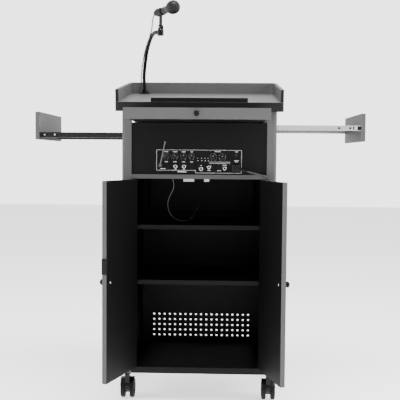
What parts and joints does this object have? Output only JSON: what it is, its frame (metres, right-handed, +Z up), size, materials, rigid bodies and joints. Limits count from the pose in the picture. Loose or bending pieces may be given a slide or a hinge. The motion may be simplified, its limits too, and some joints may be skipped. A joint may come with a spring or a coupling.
{
  "type": "presentation lectern",
  "caption": "Tall wheeled lectern with a sloping desk and gallery, keyboard drawer, side trays, amplifier panel, hinged doors and a gooseneck microphone.",
  "frame": {"origin": "on the floor, under the middle of the lectern's bounding box with its drawer and trays out and without the free power cord's plug and coil", "axes": "+Z up, +Y from the presenter towards the audience, +X to the presenter's right"},
  "size_m": [1.284, 0.8358, 1.566],
  "materials": {
    "amp_metal": "black powder coat",
    "black_laminate": "black laminate, matte",
    "black_metal": "black satin",
    "black_plastic": "black, satin",
    "cord": "black jacket",
    "laminate": "charcoal laminate, fine matte grain",
    "wheel": "black tread",
    "zinc": "zinc plated"
  },
  "bodies": {
    "cabinet": {"side_panel_left": "laminate", "side_panel_right": "laminate", "audience_panel": "laminate", "bottom_board": "black_laminate", "divider_board": "black_laminate", "shelves": "black_laminate", "desk_top": "laminate", "gallery_rail": "laminate", "book_stop": "black_plastic", "amp_panel": "amp_metal", "amp_unit": "amp_metal", "amp_sockets": "black_plastic", "speaker_box": "black_laminate", "speaker_grille": "black_metal", "slide_channels": "zinc", "hinge_leaves_cabinet": "zinc", "door_catches": "black_plastic", "gooseneck": "black_metal", "mic_cable": "cord", "bay_wire": "cord", "power_cord": "cord", "power_cord_coil": "cord", "power_plug": "black_plastic", "cord_connector": "black_plastic", "cord_clips": "black_plastic"},
    "drawer": {"drawer_front": "laminate", "drawer_knob": "black_plastic", "drawer_tray": "black_laminate", "drawer_rails": "zinc"},
    "tray_left": {"tray_panel_left": "laminate", "tray_board_left": "black_laminate", "tray_rails_left": "zinc"},
    "tray_right": {"tray_panel_right": "laminate", "tray_board_right": "black_laminate", "tray_rails_right": "zinc"},
    "left_door": {"door_left": "laminate", "door_knob_left": "black_plastic", "hinge_leaves_left": "zinc", "door_latch": "black_metal"},
    "right_door": {"door_right": "laminate", "door_knob_right": "black_plastic", "hinge_leaves_right": "zinc"},
    "mic": {"mic_clip": "black_plastic", "microphone": "black_plastic"},
    "rocker": {"power_rocker": "black_plastic"},
    "antenna_arm": {"antenna": "black_metal"},
    "level_1": {"level_knob_1": "black_plastic"},
    "level_2": {"level_knob_2": "black_plastic"},
    "level_3": {"level_knob_3": "black_plastic"},
    "level_4": {"level_knob_4": "black_plastic"},
    "tone_1": {"tone_dial_1": "black_plastic"},
    "tone_2": {"tone_dial_2": "black_plastic"},
    "caster_front_left_swivel": {"caster_front_left_yoke": "black_metal"},
    "caster_front_left_rollers": {"caster_front_left_wheels": "wheel"},
    "caster_front_right_swivel": {"caster_front_right_yoke": "black_metal"},
    "caster_front_right_rollers": {"caster_front_right_wheels": "wheel"},
    "caster_rear_left_swivel": {"caster_rear_left_yoke": "black_metal"},
    "caster_rear_left_rollers": {"caster_rear_left_wheels": "wheel"},
    "caster_rear_right_swivel": {"caster_rear_right_yoke": "black_metal"},
    "caster_rear_right_rollers": {"caster_rear_right_wheels": "wheel"}
  },
  "joints": [
    {"name": "drawer_slide", "type": "slide", "parent": "cabinet", "child": "drawer", "axis": [0, 1, 0], "range_m": [0, 0.274]},
    {"name": "left_tray_slide", "type": "slide", "parent": "cabinet", "child": "tray_left", "axis": [1, 0, 0], "range_m": [0, 0.342]},
    {"name": "right_tray_slide", "type": "slide", "parent": "cabinet", "child": "tray_right", "axis": [-1, 0, 0], "range_m": [0, 0.342]},
    {"name": "left_door_hinge", "type": "hinge", "parent": "cabinet", "child": "left_door", "pos_m": [-0.258, -0.0941, 0.5], "axis": [0, 0, 1], "range_deg": [0, 109]},
    {"name": "right_door_hinge", "type": "hinge", "parent": "cabinet", "child": "right_door", "pos_m": [0.258, -0.0941, 0.5], "axis": [0, 0, 1], "range_deg": [-105.5, 4.5]},
    {"name": "mic_tilt", "type": "hinge", "parent": "cabinet", "child": "mic", "pos_m": [-0.159, 0.0015, 1.48], "axis": [0.8572, 0.515, 0], "range_deg": [-30, 30], "deforming": ["mic_cable"]},
    {"name": "level_1_turn", "type": "hinge", "parent": "cabinet", "child": "level_1", "pos_m": [-0.127, -0.089, 0.969], "axis": [0, 1, 0], "range_deg": [-150, 150]},
    {"name": "level_2_turn", "type": "hinge", "parent": "cabinet", "child": "level_2", "pos_m": [-0.093, -0.089, 0.969], "axis": [0, 1, 0], "range_deg": [-150, 150]},
    {"name": "level_3_turn", "type": "hinge", "parent": "cabinet", "child": "level_3", "pos_m": [-0.06, -0.089, 0.969], "axis": [0, 1, 0], "range_deg": [-150, 150]},
    {"name": "level_4_turn", "type": "hinge", "parent": "cabinet", "child": "level_4", "pos_m": [-0.028, -0.089, 0.969], "axis": [0, 1, 0], "range_deg": [-150, 150]},
    {"name": "tone_1_turn", "type": "hinge", "parent": "cabinet", "child": "tone_1", "pos_m": [0.055, -0.089, 0.967], "axis": [0, 1, 0], "range_deg": [-150, 150]},
    {"name": "tone_2_turn", "type": "hinge", "parent": "cabinet", "child": "tone_2", "pos_m": [0.09, -0.089, 0.967], "axis": [0, 1, 0], "range_deg": [-150, 150]},
    {"name": "power_rocker_tip", "type": "hinge", "parent": "cabinet", "child": "rocker", "pos_m": [0.144, -0.08775, 0.971], "axis": [1, 0, 0], "range_deg": [-8, 0]},
    {"name": "antenna_tilt", "type": "hinge", "parent": "cabinet", "child": "antenna_arm", "pos_m": [-0.15, -0.102, 0.934], "axis": [0, 1, 0], "range_deg": [-100, 4]},
    {"name": "caster_front_left_swivel_joint", "type": "hinge", "parent": "cabinet", "child": "caster_front_left_swivel", "pos_m": [-0.281, -0.0485, 0.1], "axis": [0, 0, 1], "continuous": true},
    {"name": "caster_front_left_roll", "type": "hinge", "parent": "caster_front_left_swivel", "child": "caster_front_left_rollers", "pos_m": [-0.281, -0.0285, 0.039], "axis": [1, 0, 0], "continuous": true},
    {"name": "caster_front_right_swivel_joint", "type": "hinge", "parent": "cabinet", "child": "caster_front_right_swivel", "pos_m": [0.281, -0.0485, 0.1], "axis": [0, 0, 1], "continuous": true},
    {"name": "caster_front_right_roll", "type": "hinge", "parent": "caster_front_right_swivel", "child": "caster_front_right_rollers", "pos_m": [0.281, -0.0285, 0.039], "axis": [1, 0, 0], "continuous": true},
    {"name": "caster_rear_left_swivel_joint", "type": "hinge", "parent": "cabinet", "child": "caster_rear_left_swivel", "pos_m": [-0.281, 0.3225, 0.1], "axis": [0, 0, 1], "continuous": true},
    {"name": "caster_rear_left_roll", "type": "hinge", "parent": "caster_rear_left_swivel", "child": "caster_rear_left_rollers", "pos_m": [-0.281, 0.3425, 0.039], "axis": [1, 0, 0], "continuous": true},
    {"name": "caster_rear_right_swivel_joint", "type": "hinge", "parent": "cabinet", "child": "caster_rear_right_swivel", "pos_m": [0.281, 0.3225, 0.1], "axis": [0, 0, 1], "continuous": true},
    {"name": "caster_rear_right_roll", "type": "hinge", "parent": "caster_rear_right_swivel", "child": "caster_rear_right_rollers", "pos_m": [0.281, 0.3425, 0.039], "axis": [1, 0, 0], "continuous": true}
  ]
}
